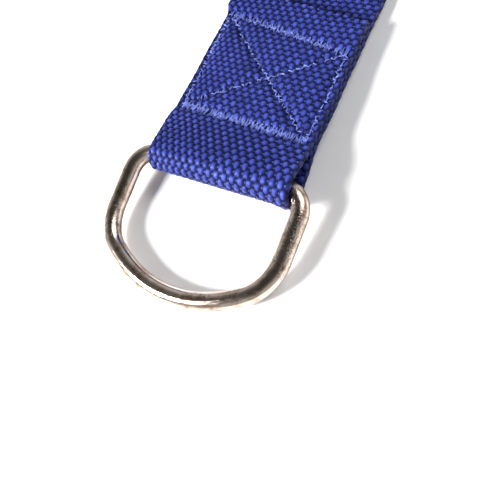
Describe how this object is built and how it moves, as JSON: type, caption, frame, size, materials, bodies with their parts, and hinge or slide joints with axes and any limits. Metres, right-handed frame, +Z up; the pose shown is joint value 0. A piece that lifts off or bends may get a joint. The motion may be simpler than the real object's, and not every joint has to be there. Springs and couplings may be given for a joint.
{
  "type": "gait belt",
  "caption": "Woven webbing gait belt folded and box-stitched round a swinging D-ring, its spare length wound into a roll, for holding a patient while walking.",
  "frame": {"origin": "middle of the footprint, on the surface that the belt lies on", "axes": "+Z up out of the strap's face, +Y along the strap from the D-ring towards the roll, +X across the strap, along the ring's bar"},
  "size_m": [0.0634, 0.2054, 0.0683],
  "materials": {
    "webbing": "royal blue multifilament plain-weave webbing with a silky sheen",
    "thread": "blue bonded sewing thread, brighter than the webbing",
    "ring_nickel": "bright nickel plating, slightly pitted"
  },
  "bodies": {
    "roll": {"webbing_roll": "webbing", "webbing_run": "webbing"},
    "ring_end": {"webbing_ring_end": "webbing", "box_seam_needle_thread": "thread", "cross_seam_needle_thread": "thread", "box_seam_bobbin_thread": "thread", "cross_seam_bobbin_thread": "thread"},
    "ring": {"d_ring": "ring_nickel"}
  },
  "joints": [
    {"name": "strap_flex", "type": "hinge", "parent": "roll", "child": "ring_end", "pos_m": [0, 0.01826, 0.00115], "axis": [1, 0, 0], "range_deg": [-72, 90]},
    {"name": "ring_swing", "type": "hinge", "parent": "ring_end", "child": "ring", "pos_m": [0, -0.06157, 0.0066], "axis": [1, 0, 0], "range_deg": [-178, 156]}
  ]
}
